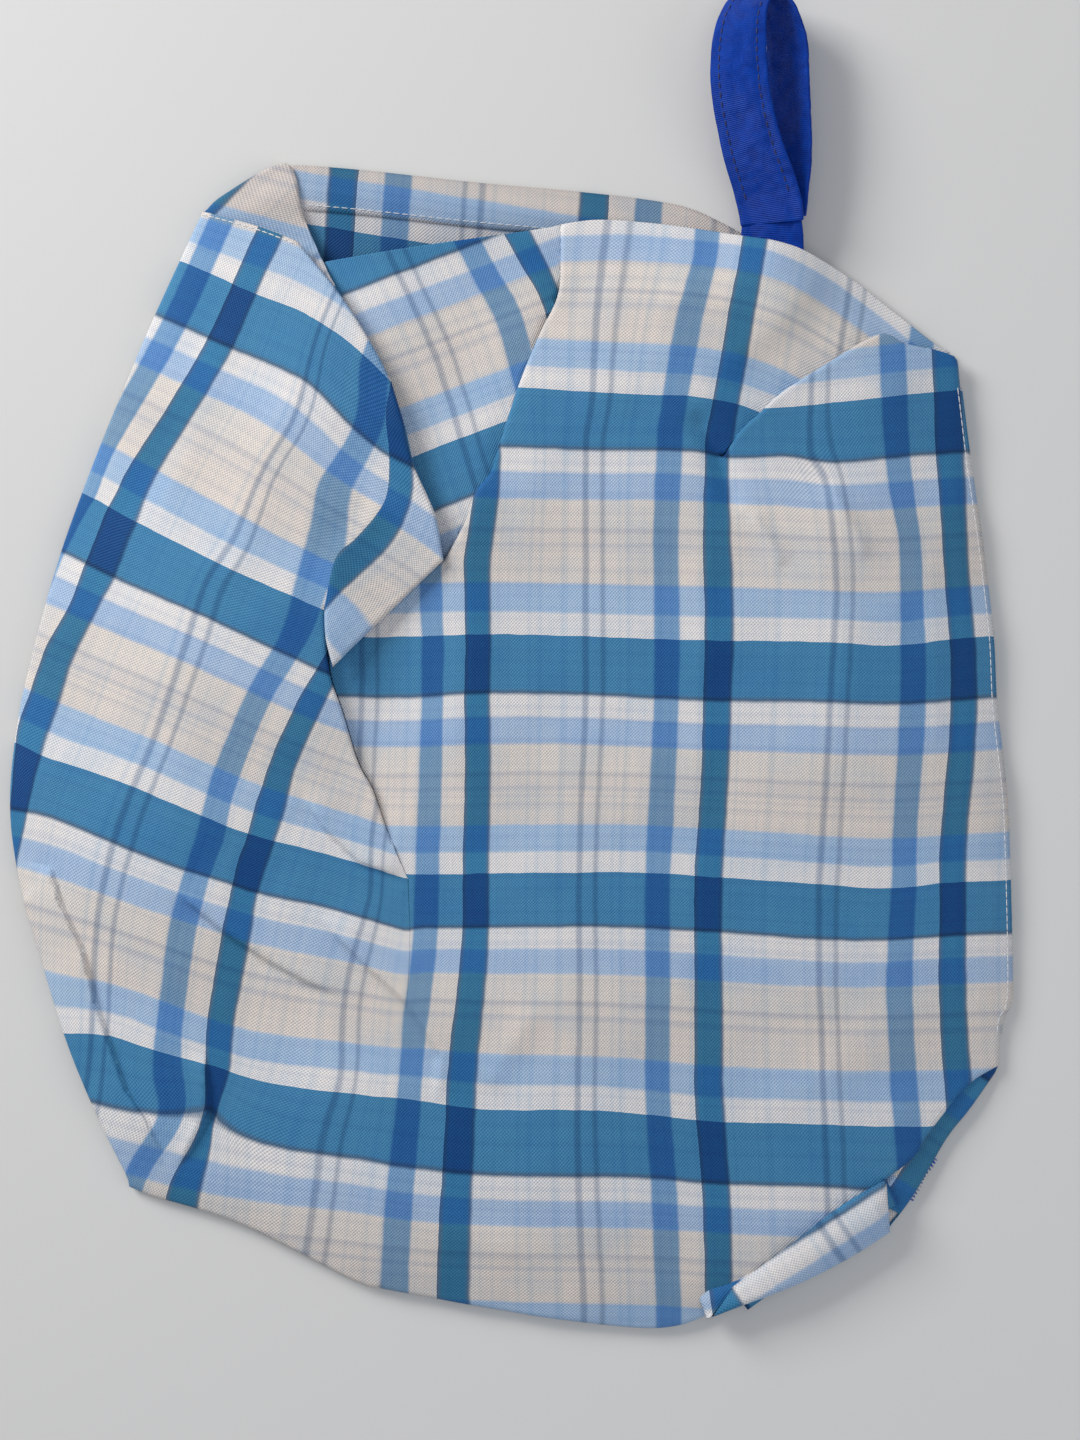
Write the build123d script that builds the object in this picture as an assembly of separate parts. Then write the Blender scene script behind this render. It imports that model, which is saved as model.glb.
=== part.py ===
from build123d import *

"""A soft laundry bag of printed woven cloth, lying flat on its back wall with its mouth towards +Y.

Two cloth walls are sewn together along the right side and closed by an oval base, which lies folded
underneath.  Both walls are hemmed at the mouth, and a short strap loop is sewn to the inside of the back
hem and lies out past the mouth.  +Z is up from the surface that the bag lies on, +Y runs from the base to
the mouth, and the origin is on the surface, under the middle of the whole object.  Lengths are millimetres.
"""

import os
from math import cos, radians, sin

# The lying bag.
BODY_WIDTH = 299.0
BODY_LENGTH = 349.0  # from the base fold to the top of the back hem
LOFT = 20.0  # how high the slack front wall stands
CLOTH = 0.8  # one layer of wall cloth
HEM_WIDTH = 15.0
SEAM_WIDTH = 3.0  # the flat seam allowance along the right side

# Sewing thread.
THREAD = 0.4
THREAD_WIDTH = 0.7
ROW_INSET = 3.0  # from a hem's inner edge to its row of thread
SEAM_ROW_INSET = 1.2  # from the right side's edge to its row of thread

# The base, seen from below: the chord of a disc that rises this far above the base fold.
BASE_RISE = 90.0
BASE_RADIUS = 172.0
OVERLOCK_WIDTH = 3.0

# The strap loop.
STRAP_WIDTH = 20.0
STRAP_THICKNESS = 1.6
STRAP_LENGTH = 67.5  # from the hinge line to the far end of the loop
STRAP_HEIGHT = 22.0  # how far the upper leg arches above the hinge line
STRAP_DROP = 3.4  # how far the lower leg hangs below the hinge line
NECK = 8.0  # where the legs lie together, beside the hinge line
STRAP_TILT = 30.0  # the strap's width leans up towards +X
STRAP_X = 79.0  # from the middle of the body
SURFACE_GAP = 0.5  # from the loop's lowest edge to the surface
SWING_GAP = 0.3  # from the loop to the sewn strap ends
TACK_LENGTH = 12.0  # strap sewn down on the hem
TACK_INSET = 2.5  # from the hem's edge to the sewn part
HINGE_REACH = 8.0  # from the hem's edge to the hinge line
STRAP_ROW_INSET = 3.2  # from the strap's edge to its row of thread
BAR_TACK = 1.5

# The slack wall's levels: height as a share of LOFT, and size as a share of the outline.
LEVELS = ((0.0, 1.0), (0.48, 0.94), (0.82, 0.78), (1.0, 0.46))
HIGHEST = (-0.1, 0.6)  # the place that the levels close in on
PAST_MOUTH = 0.98  # where the levels would close, so that the mouth is cut through them

# The outline, in shares of half the width from the middle and of the length from the base fold.
BACK_EDGE = ((-0.607, 0.957), (-0.436, 1.0), (0.187, 0.979), (0.475, 0.94), (0.729, 0.893), (0.893, 0.834))
RIGHT_MIDDLE = (1.0, 0.37)
RIGHT_FOOT = (0.983, 0.226)
CORNER_FOOT = (0.763, 0.086)
BASE_FOOT = (0.307, 0.0)
BASE_MIDDLE = (-0.295, 0.039)
LEFT_FOOT = (-0.737, 0.119)
LEFT_LOW = (-0.867, 0.23)
LEFT_MIDDLE = (-1.0, 0.46)
LEFT_HIGH = (-0.717, 0.858)
FRONT_EDGE = ((-0.607, 0.955), (-0.395, 0.93), (0.187, 0.948), (0.468, 0.938), (0.72, 0.889), (0.9, 0.825))

# The right side seam runs between these shares of the length.
SEAM_SPAN = (0.25, 0.81)


def place(share):
    """A point of the lying bag, from its shares."""
    return (share[0] * BODY_WIDTH / 2, share[1] * BODY_LENGTH)


def outline(top_edge):
    """The lying bag's outline, closed by an edge at the mouth."""
    line = Polyline(*[place(share) for share in top_edge])
    line += ThreePointArc(place(BACK_EDGE[-1]), place(RIGHT_MIDDLE), place(RIGHT_FOOT))
    line += Polyline(place(RIGHT_FOOT), place(CORNER_FOOT), place(BASE_FOOT))
    line += ThreePointArc(place(BASE_FOOT), place(BASE_MIDDLE), place(LEFT_FOOT))
    line += Line(place(LEFT_FOOT), place(LEFT_LOW))
    line += ThreePointArc(place(LEFT_LOW), place(LEFT_MIDDLE), place(LEFT_HIGH))
    line += Line(place(LEFT_HIGH), place(BACK_EDGE[0]))
    return make_face(line)


def strip_below(shares, start, end):
    """The strip that follows an edge, between two depths below it."""
    upper = [(x, y - start) for x, y in map(place, shares)]
    lower = [(x, y - end) for x, y in map(place, shares)]
    return make_face(Polyline(*upper, *reversed(lower), close=True))


def beyond(shares):
    """Everything past an edge."""
    edge = [place(share) for share in shares]
    far = 2 * BODY_WIDTH
    top = 2 * BODY_LENGTH
    return make_face(Polyline((-far, edge[0][1]), *edge, (far, edge[-1][1]), (far, top), (-far, top), close=True))


def layer(face, low, high):
    """A flat solid between two heights."""
    return Pos(0, 0, low) * extrude(face, high - low)


def slack_space(face, inset):
    """The space under the slack wall, with its sides and roof moved in by inset."""
    x, y = place(HIGHEST)
    levels = []
    for height, share in LEVELS:
        size = share - inset / (BODY_WIDTH / 2)
        z = CLOTH + height * (LOFT - CLOTH - inset)
        levels.append(Pos(x * (1 - size), y * (1 - size), z) * scale(face, by=size))
    space = loft(levels[:2], ruled=True)
    for lower, upper in zip(levels[1:], levels[2:]):
        space += loft([lower, upper], ruled=True)
    return space


def hem_edge_y(x):
    """Where the back hem's edge is, at a distance from the middle."""
    points = [place(share) for share in BACK_EDGE]
    for (x1, y1), (x2, y2) in zip(points, points[1:]):
        if x1 <= x <= x2:
            return y1 + (y2 - y1) * (x - x1) / (x2 - x1)
    return points[-1][1]


def loop_outline():
    """The loop seen along its width: it runs out from the hinge line and arches up over its lower leg."""
    low = -STRAP_DROP - STRAP_THICKNESS / 2
    points = [
        (0, -STRAP_THICKNESS),
        (0.26 * STRAP_LENGTH, low),
        (0.93 * STRAP_LENGTH, low),
        (STRAP_LENGTH, 0.3 * STRAP_HEIGHT),
        (0.88 * STRAP_LENGTH, 0.82 * STRAP_HEIGHT),
        (0.62 * STRAP_LENGTH, STRAP_HEIGHT),
        (0.3 * STRAP_LENGTH, 0.5 * STRAP_HEIGHT),
        (NECK, STRAP_THICKNESS),
        (0, STRAP_THICKNESS),
    ]
    ends_round = STRAP_THICKNESS / 2
    leg_round = STRAP_HEIGHT / 5
    rounds = [ends_round] + (len(points) - 2) * [leg_round] + [ends_round]
    return make_face(FilletPolyline(*points, radius=rounds, close=True)) + Circle(STRAP_THICKNESS)


def band(face, low, high):
    """A stretch of the loop's width, measured from the strap's middle."""
    return hinge_plane * Pos(0, 0, low) * extrude(face, high - low)


def strap_section(y, z, tilt):
    """The two sewn strap ends, cut across."""
    across = (cos(radians(tilt)), 0, sin(radians(tilt)))
    return Plane(origin=(STRAP_X, y, z), x_dir=across, z_dir=(0, 1, 0)) * Rectangle(STRAP_WIDTH, 2 * STRAP_THICKNESS)


left_end, right_end = BACK_EDGE[0], BACK_EDGE[-1]
open_mouth = (left_end, (left_end[0], PAST_MOUTH), (right_end[0], PAST_MOUTH), right_end)
body = outline(BACK_EDGE)
open_body = outline(open_mouth)
shell = open_body & Pos(-SEAM_WIDTH, 0, 0) * open_body
base_centre = Pos(0, BASE_RISE - BASE_RADIUS, 0)
base_outer = base_centre * Circle(BASE_RADIUS)
base_inner = base_centre * Circle(BASE_RADIUS - OVERLOCK_WIDTH)
parts = {}

# The layer that lies on the surface: the back wall, the overlocked base seam and the base.
parts["back_wall"] = layer(body - base_outer, 0, CLOTH)
parts["base_seam_overlock"] = layer(body & (base_outer - base_inner), 0, CLOTH)
parts["base_panel"] = layer(body & base_inner, 0, CLOTH)

# The front wall, open at the mouth, with its hem turned in.
space = slack_space(shell, 0)
space_in_wall = slack_space(shell, CLOTH)
past_front = layer(beyond(FRONT_EDGE), 0, 2 * LOFT)
parts["front_wall"] = space - space_in_wall - past_front
hem_reach = layer(strip_below(FRONT_EDGE, 0, HEM_WIDTH), 0, 2 * LOFT)
parts["front_hem"] = (space_in_wall - slack_space(shell, 2 * CLOTH)) & hem_reach
row_start = HEM_WIDTH - ROW_INSET - THREAD_WIDTH
row_reach = layer(strip_below(FRONT_EDGE, row_start, row_start + THREAD_WIDTH), 0, 2 * LOFT)
front_row = (slack_space(shell, -THREAD) - space) & row_reach

# The back hem, turned in over the back wall.
hem_face = strip_below(BACK_EDGE, 0, HEM_WIDTH) & body
back_hem = layer(hem_face, CLOTH, 2 * CLOTH)
row_face = strip_below(BACK_EDGE, row_start, row_start + THREAD_WIDTH) & body
back_row = layer(row_face, 2 * CLOTH, 2 * CLOTH + THREAD)

# The right side seam, beside the front wall, with its row of thread on top.
seam_middle = place((1.0, sum(SEAM_SPAN) / 2))
seam_length = (SEAM_SPAN[1] - SEAM_SPAN[0]) * BODY_LENGTH
seam_reach = Pos(*seam_middle) * Rectangle(BODY_WIDTH, seam_length)
seam_face = (body - Pos(-SEAM_WIDTH, 0, 0) * body) & seam_reach
parts["side_seam"] = layer(seam_face, CLOTH, 3 * CLOTH)
seam_row = Pos(-SEAM_ROW_INSET, 0, 0) * body - Pos(-SEAM_ROW_INSET - THREAD_WIDTH, 0, 0) * body
parts["side_seam_stitching"] = layer(seam_row & seam_reach, 3 * CLOTH, 3 * CLOTH + THREAD)

# The hems' ends stop at the front wall and at the side seam.
parts["front_hem_stitching"] = front_row - parts["side_seam"]
hem_stops = [parts["front_wall"], parts["front_hem"], parts["front_hem_stitching"], parts["side_seam"]]
hem_pieces = (back_hem - hem_stops).solids()
parts["back_hem"] = max(hem_pieces, key=lambda piece: piece.volume)  # slivers past the side seam are no hem

# The sewn strap ends: flat on the back hem, then rising and turning to the hinge line.
hem_edge = hem_edge_y(STRAP_X)
hinge_y = hem_edge + HINGE_REACH
hinge_z = SURFACE_GAP + STRAP_WIDTH / 2 * sin(radians(STRAP_TILT))
hinge_z += (STRAP_DROP + STRAP_THICKNESS / 2) * cos(radians(STRAP_TILT))
flat_z = 2 * CLOTH + STRAP_THICKNESS
tack_end = hem_edge - TACK_INSET
ends_end = hinge_y - STRAP_THICKNESS - SWING_GAP
flat_ends = [strap_section(y, flat_z, 0) for y in (tack_end - TACK_LENGTH, tack_end)]
raised_end = strap_section(ends_end, hinge_z, STRAP_TILT)
parts["strap_ends"] = loft(flat_ends, ruled=True) + loft([flat_ends[1], raised_end], ruled=True)
parts["strap_bar_tack"] = layer(
    Pos(STRAP_X, tack_end - TACK_LENGTH / 2) * Rectangle(STRAP_WIDTH - 2 * STRAP_ROW_INSET, BAR_TACK),
    flat_z + STRAP_THICKNESS,
    flat_z + STRAP_THICKNESS + THREAD,
)
parts["back_hem_stitching"] = back_row - hem_stops - parts["strap_ends"]

# The loop swings on the line where it leaves the sewn ends, which runs along the strap's width.
hinge_axis = Vector(cos(radians(STRAP_TILT)), 0, sin(radians(STRAP_TILT)))
hinge_plane = Plane(origin=(STRAP_X, hinge_y, hinge_z), x_dir=(0, 1, 0), z_dir=hinge_axis)
outside = loop_outline()
inside = offset(outside, -STRAP_THICKNESS)
parts["strap_loop"] = band(outside - inside, -STRAP_WIDTH / 2, STRAP_WIDTH / 2)
thread_ring = offset(outside, THREAD) - outside - Circle(NECK / 2)
for side, middle in (("left", STRAP_ROW_INSET - STRAP_WIDTH / 2), ("right", STRAP_WIDTH / 2 - STRAP_ROW_INSET)):
    row = band(thread_ring, middle - THREAD_WIDTH / 2, middle + THREAD_WIDTH / 2)
    parts[f"strap_{side}_stitching"] = row

# Everything moves so that the origin is under the middle of the whole object.
box = Compound(list(parts.values())).bounding_box()
to_origin = Pos(-box.center().X, -box.center().Y, 0)
hinge_place = to_origin * Pos(STRAP_X, hinge_y, hinge_z)

os.makedirs("parts", exist_ok=True)
for name, part in parts.items():
    export_step(to_origin * part, f"parts/{name}.step")
print("hinge at", hinge_place.position, "along", hinge_axis)
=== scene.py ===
import math

import bmesh
import bpy
import numpy as np
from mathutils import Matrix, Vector, noise
from mathutils.geometry import delaunay_2d_cdt


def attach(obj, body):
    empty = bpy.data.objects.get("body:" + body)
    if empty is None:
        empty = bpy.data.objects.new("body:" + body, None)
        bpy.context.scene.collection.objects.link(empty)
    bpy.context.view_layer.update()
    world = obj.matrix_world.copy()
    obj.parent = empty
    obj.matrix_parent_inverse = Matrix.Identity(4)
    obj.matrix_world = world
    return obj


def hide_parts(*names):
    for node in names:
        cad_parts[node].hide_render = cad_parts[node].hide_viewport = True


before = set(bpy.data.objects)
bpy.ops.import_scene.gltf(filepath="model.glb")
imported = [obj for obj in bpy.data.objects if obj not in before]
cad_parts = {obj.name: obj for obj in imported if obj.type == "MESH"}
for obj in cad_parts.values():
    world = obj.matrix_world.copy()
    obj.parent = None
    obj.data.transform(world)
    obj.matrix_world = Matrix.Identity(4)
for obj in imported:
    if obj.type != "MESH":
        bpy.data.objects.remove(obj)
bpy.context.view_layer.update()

# A woven plaid laundry bag lying flat, mouth towards +Y, with a blue strap loop at the mouth.
# Places are millimetres in the frame's own axes until they become vertices, which are metres.
MM = 0.001

# The print. One fabric unit is 0.3 mm, and the print repeats every WARP_REPEAT by WEFT_REPEAT units.
UNIT = 0.3
WARP_REPEAT = 238.0
WEFT_REPEAT = 236.0

# Where the print's stripe edges run over the lying cloth: fabric units across the stripes, then the places
# that the line passes through. MAIN is the right-hand body, TOP its upper part above the tuck, LEFT the
# left-hand body, VALLEY the sunken part between them and FLAP the folded corner over all three.
MAIN_U = {
    425: ((-25, 6), (-25, -12), (-27, -66), (-30.5, -105), (-34, -142.5), (-36.5, -165.5)),
    476: (
        (-9.5, 49), (-12.5, 30), (-12.5, -10.5), (-13, -63.5), (-13, -80), (-17, -117), (-18.5, -142.5),
        (-20, -165.5), (-21, -192),
    ),
    593: ((22.5, 63), (22.5, 24), (22.5, -12), (20.5, -63), (20.5, -111), (20.5, -162), (22, -198)),
    663: ((44.5, 66), (43.5, 24), (43.5, -12), (41, -63), (41, -96), (41, -129), (42.5, -152), (44.5, -193)),
    714: (
        (59, 65.5), (58, 30), (58, -12), (57, -42), (55.5, -63.5), (55.5, -96), (55.5, -129), (57.5, -152),
        (59, -189),
    ),
    831: (
        (89, 73), (89, 59), (93, 55), (96.5, 18), (95, -6), (93.5, -36), (91.5, -66), (91.5, -84),
        (92.5, -111), (93.5, -138),
    ),
    901: (
        (110.5, 95), (111.5, 69), (113.5, 49.5), (116.5, 33.5), (116.5, 18), (116.5, -12), (114.5, -63),
        (112.5, -97.5), (114, -127.5), (115.5, -141),
    ),
    952: (
        (126.5, 92), (127, 79), (127.5, 61.5), (128.5, 51), (129.5, 33.5), (130.5, 18), (131.5, 6),
        (131.5, -24), (128.5, -57), (128.5, -96), (130.5, -127.5),
    ),
    984: ((138, 61.5),),
    999: ((146, -12),),
    1022: ((149.5, -66),),
    1025: ((150.5, -101.5),),
}
MAIN_V = {
    294: (
        (-2.5, 62.5), (28, 61.5), (58, 61), (65, 59.5), (82.5, 60), (93, 58), (110.5, 59), (128.5, 61),
        (137, 61.5),
    ),
    236: ((3.5, 80.5), (25, 79), (44.5, 78), (77, 74), (93, 75.5), (110.5, 77.5), (134.5, 80.5)),
    472: ((-17.5, 7), (28, 6.5), (58, 5.5), (95, 5), (116.5, 4), (131.5, 6), (145, 7)),
    530: ((-25, -11.5), (-12.5, -10.5), (28, -11), (58, -12.5), (95, -13), (118, -13.5), (146, -11.5)),
    708: (
        (-27, -63.5), (20.5, -63), (41, -63), (55.5, -64), (91.5, -66.5), (114.5, -68), (128.5, -66.5),
        (149.5, -66),
    ),
    766: ((-29, -79.5), (20.5, -79), (64, -81), (91.5, -83), (112.5, -83.5), (128.5, -82.5), (150, -82)),
    944: (
        (-38, -128.5), (-20, -131.5), (-7, -133), (20.5, -133), (41, -134.5), (56.5, -136.5), (76, -137.5),
        (93.5, -138), (115.5, -139),
    ),
    1002: (
        (-38, -150.5), (-24.5, -151.5), (-8, -153), (20.5, -153.5), (43, -154), (57.5, -155.5),
        (76, -156.5), (93.5, -157), (109, -158.5),
    ),
    1136: ((-10.5, -193),),
    1156: ((44.5, -200),),
}
TOP_U = {
    593: ((28, 126), (25.5, 102), (24.5, 78), (23, 63)),
    663: ((55.5, 120), (48.5, 93), (44.5, 66)),
    714: ((69.5, 123), (66.5, 108), (63.5, 90.5), (61, 77), (59, 65.5)),
}
TOP_V = {
    66: ((19, 130), (27.5, 131), (58, 128.5), (79, 125), (103, 113.5), (126.5, 95.5)),
    236: ((3.5, 80.5), (25, 79), (44.5, 78), (61, 77)),
    294: MAIN_V[294][:3],
}
LEFT_U = {
    0: (
        (-77, 122.5), (-87.5, 98), (-97, 81), (-114.5, 54), (-120, 44.5), (-125.5, 29), (-131, 14.5),
        (-137, 5), (-142.5, -10), (-146, -18.5), (-148, -42.5),
    ),
    28: (
        (-67.5, 122.5), (-73.5, 110), (-81, 92), (-88.5, 79), (-104, 54), (-109.5, 40), (-116, 24.5),
        (-121, 16), (-128, 2), (-133, -13.5), (-137, -24), (-142.5, -42.5), (-146.5, -60),
    ),
    128: (
        (-54.5, 95), (-57.5, 81), (-62, 67), (-77.5, 35), (-86.5, 22), (-94, -2), (-102.5, -26.5),
        (-109.5, -42.5), (-116, -63), (-120, -84), (-123, -124.5),
    ),
    187: (
        (-43.5, 87.5), (-55, 53), (-60.5, 29.5), (-67, 6), (-76.5, -10), (-87, -34.5), (-92.5, -54.5),
        (-103, -100), (-105.5, -124), (-104, -137),
    ),
    213: (
        (-35, 72.5), (-47, 32.5), (-51, 23), (-58, 6), (-68, -10), (-78.5, -34.5), (-83.5, -54.5),
        (-95, -100), (-96, -124), (-96.5, -137),
    ),
    238: (
        (-59.5, -9), (-64.5, -18.5), (-71, -34.5), (-74, -42.5), (-79, -58.5), (-82, -71.5), (-87, -96),
        (-89, -108.5), (-89.5, -124), (-88.5, -132.5), (-90.5, -138.5), (-96.5, -148.5), (-101, -156.5),
        (-102.5, -163.5),
    ),
    266: (
        (-51.5, -9), (-56, -18.5), (-63, -34.5), (-64.5, -42.5), (-70, -58.5), (-74, -71.5), (-78.5, -96),
        (-81, -108.5), (-82.5, -124), (-86.5, -132.5), (-88, -138.5), (-88.5, -148.5), (-90.5, -156.5),
        (-92, -163.5),
    ),
    355: ((-40.5, -68), (-50, -124), (-57.5, -156.5)),
    425: MAIN_U[425][2:],
    476: MAIN_U[476][3:],
    -28: ((-123, 48),),
    -3: ((-144, -12),),
    26: ((-146.5, -60.5),),
    64: ((-138.5, -93),),
    101: ((-129.5, -120),),
    166: ((-117.5, -147),),
}
LEFT_V = {
    180: ((-91, 134), (-74.5, 129), (-59, 124)),
    236: ((-97, 119), (-76, 109), (-55, 99.5), (-34, 82)),
    294: ((-98, 99.5), (-82, 92), (-58.5, 81), (-44.5, 67), (-35, 59.5)),
    472: ((-125, 49), (-108.5, 40), (-81.5, 26.5), (-54, 14.5)),
    530: ((-131, 31), (-116.5, 24), (-89.5, 12.5), (-57.5, -2.5)),
    708: ((-146, -25), (-137.5, -29), (-108.5, -38.5), (-76.5, -51.5), (-63.5, -55), (-29, -65)),
    766: (
        (-149, -45), (-138.5, -46.5), (-113.5, -56), (-95.5, -62.5), (-82, -66.5), (-73.5, -69.5),
        (-56, -73), (-39.5, -77.5), (-26, -81.5),
    ),
    944: (
        (-133, -111.5), (-120, -111.5), (-105.5, -116), (-90.5, -120), (-80, -123.5), (-53, -128),
        (-26, -131),
    ),
    1002: (
        (-125, -132.5), (-107, -135.5), (-88.5, -132.5), (-90.5, -138.5), (-82, -140.5), (-71.5, -144.5),
        (-26, -151),
    ),
    1136: ((-10.5, -193),),
}
VALLEY_U = {
    355: ((-34.5, 117.5), (-21.5, 88.5), (-9.5, 49)),
    425: ((-9.5, 112.5), (1.5, 84)),
    476: ((0.5, 124), (10, 108)),
    504: ((9, 124), (15, 111)),
}
VALLEY_V = {
    58: ((-47.5, 108.5), (-5, 125)),
    236: ((-26.5, 60.5), (-2, 70)),
    294: ((-21, 43.5), (-9.5, 48.5)),
}
MOUTH = (
    (16, 129.5), (27.5, 131), (43, 130), (58, 128), (72.5, 125.5), (80.5, 124), (89.5, 121), (103, 113.5),
    (110.5, 108), (126.5, 95.5), (132.5, 92),
)
RIGHT = (
    (132.5, 91), (134.5, 89.5), (135.5, 81.5), (138, 61.5), (142, 33.5), (145, 7), (146, -12.5), (148, -30),
    (149.5, -48), (150.5, -82), (150.5, -101.5), (148, -107.5), (147.5, -113.5), (147, -121.5),
)
CORNER_FOLD = (
    (147, -121.5), (138.5, -126.5), (130.5, -135.5), (124.5, -143.5), (121.5, -148.5), (113, -155),
)
ROLL_FOLD = ((113, -155), (100, -162.5), (85, -174), (67, -187.5))
BASE = ((67, -187.5), (59.5, -196), (44.5, -200), (17, -197.5), (-10.5, -193), (-38, -188))
BORDER = ((-29, -65), (-28.5, -87), (-30.5, -117), (-33.5, -147), (-38, -188))
CREASE = ((-53.5, 14.5), (-52, -4), (-48.5, -15), (-44, -30), (-39.5, -38.5), (-35, -51), (-29, -65))
RIDGE_OVER_VALLEY = (
    (-18.5, 29), (-12.5, 40), (-9.5, 49), (-5, 55), (-2.5, 62.5), (3.5, 81), (9.5, 96), (15, 107.5),
    (16, 118.5), (16, 129.5),
)
TUCK = (
    (132.5, 91), (126.5, 92.5), (118.5, 94), (110.5, 96.5), (94, 87), (81.5, 79), (74.5, 72.5), (69.5, 68),
    (64, 60.5),
)
LEFT_OUTLINE = (
    (-38, -188), (-46, -185.5), (-80, -168.5), (-110, -159), (-114.5, -153), (-129.5, -120), (-140, -87),
    (-146.5, -63), (-148.5, -39), (-144.5, -9), (-134, 30), (-122, 63), (-107, 99), (-91, 134),
)
HEM_LINE = ((-91, 134), (-74.5, 129), (-62, 124))
FLAP_OUTER = ((-62, 124), (-49, 107.5), (-39.5, 92.5), (-34, 82))
FLAP_TIP = ((-34, 82), (-29.5, 67), (-27, 56.5), (-21, 42.5), (-18.5, 29))
FLAP_LOWER = ((-18.5, 29), (-30.5, 17.5), (-42.5, 6), (-51, -2.5))
FLAP_LEFT = ((-51, -2.5), (-53, 6), (-53.5, 14.5))
ARC = ((-34, 82), (-35.5, 72), (-34.5, 60), (-35, 49), (-38, 42.5), (-44.5, 35), (-50, 29.5), (-53.5, 14.5))
VALLEY_TOP = ((-54, 118.5), (-26, 123), (9, 128), (16, 129.5))
BACK_TOP = (
    (-65, 148.5), (-54.5, 148), (-38, 146.5), (-11, 143.5), (22, 140.5), (43, 138), (55, 135.5),
    (64, 131.5), (71.5, 127.5),
)
TURNED_CORNER = (
    (-91, 134), (-84.5, 139.5), (-66, 148.5), (-61, 134), (-58.5, 127), (-52, 113), (-48.5, 107.5),
)
SIDE_STRIP = ((147, -121.5), (146, -124), (138.5, -134.5), (131.5, -143.5), (121.5, -160.5), (114, -170.5))
ROLL_EDGE = ((114, -170.5), (103, -177.5), (88, -185), (68.5, -192.5), (59.5, -196))
C1 = (
    (-146, -60), (-135.5, -62.5), (-133, -72), (-126.5, -86), (-124, -95.5), (-121, -106.5),
    (-117.5, -116.5), (-113.5, -128.5), (-108.5, -135.5), (-104, -143.5), (-101.5, -152.5),
)
C2 = ((-99, -68), (-83.5, -81), (-71.5, -89), (-59.5, -95.5), (-48.5, -100))
C3 = ((-56, -76), (-43.5, -89), (-29, -102.5), (-20, -117), (-21.5, -131.5))
C4 = ((-60.5, -40), (-54, -50), (-43.5, -60), (-29, -65))
C5 = ((9.5, -101.5), (-7, -128))
C6 = ((72, 44), (82.5, 27))
C7 = ((95, 53.5), (107, 29))
DART = ((55, 75), (62.5, 61.5), (68.5, 42))
PINCH = ((-89.5, -116), (-88.5, -135), (-98, -151.5))
FLAP_U = {
    240: ((-35, 82), (-35.5, 72), (-34.5, 60), (-35, 49), (-44.5, 35), (-50, 30)),
    266: ((-30, 67), (-27.5, 57), (-29.5, 41.5), (-41, 26), (-53.5, 13.5)),
    318: ((-18.5, 29), (-35, 14)),
    330: ((-42.5, 6),),
}
FLAP_V = {
    236: ((-34, 82),),
    292: ((-27, 56.5), (-34.5, 60)),
    342: ((-18.5, 29), (-36, 41)),
    400: ((-31, 17.5), (-47, 27)),
    430: ((-42.5, 6), (-51, 18)),
    460: ((-51, -2.5),),
}
# Where the lower and upper right body run into each other, ending at the tuck's tip.
JOIN = ((-0.5, 70), (25, 71), (45, 69), (64, 60.5))
# The sunken part's hidden edge, beneath its neighbours.
VALLEY_UNDER = (
    (16, 129.5), (19, 118), (15, 104), (9, 90), (3, 72), (-1, 58), (-7, 46), (-14, 34), (-21, 25),
    (-27, 30), (-31, 44), (-35, 60), (-41, 82), (-52, 101), (-60, 112), (-54, 118.5),
)
# Prints that lie straight: fabric units at a place, and how they change over x and y.
BACK_PRINT = ((252.0, 236.0), (-50.0, 129.0), ((-3.15, -0.53), (0.2, -3.25)))
CORNER_PRINT = ((60.0, 196.0), (-75.0, 130.0), ((2.1, -0.9), (-2.1, -3.2)))
STRIP_PRINT = ((14.0, 60.0), (141.0, -125.0), ((2.75, -1.83), (-1.83, -2.75)))
ROLL_PRINT = ((26.0, 61.0), (66.9, -187.5), ((2.43, 1.8), (1.58, -2.77)))
OVERLOCK_SHOWN = ((129, -150), (125.5, -155), (122, -162))
# The strap: places of its middle, the way its width runs, and half its width.
LOOP = (
    ((79, 129.8, 8.8), (1, 0.05, 0.38), 9.8),
    ((78.4, 134, 9.9), (1, 0.1, 0.4), 10.0),
    ((76, 142, 12.3), (0.97, 0.2, 0.38), 9.8),
    ((72.2, 153, 15.2), (0.95, 0.24, 0.34), 9.2),
    ((69.2, 167, 17.5), (0.96, 0.12, 0.32), 8.9),
    ((68.4, 180, 17.6), (0.95, 0.04, 0.34), 8.4),
    ((69.8, 190, 15.8), (0.86, -0.1, 0.5), 7.8),
    ((73.6, 197, 13.2), (0.66, -0.25, 0.7), 7.2),
    ((78.6, 196.6, 11.0), (0.55, -0.1, 0.83), 7.2),
    ((82, 188, 9.4), (0.62, 0.1, 0.77), 7.8),
    ((83.6, 175, 8.6), (0.7, 0.06, 0.71), 8.4),
    ((83.6, 160, 8.4), (0.74, 0.0, 0.67), 8.8),
    ((82.2, 145, 8.2), (0.82, -0.05, 0.57), 9.2),
    ((80, 131.5, 7.5), (1, 0.0, 0.42), 9.6),
)
STRAP_ENDS = (
    ((79, 111, 6.2), (1, 0, 0.2), 9.6),
    ((79, 118, 6.5), (1, 0, 0.24), 9.6),
    ((79, 125, 7.1), (1, 0, 0.3), 9.5),
    ((79, 130.6, 7.9), (1, 0, 0.38), 9.2),
)

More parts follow.
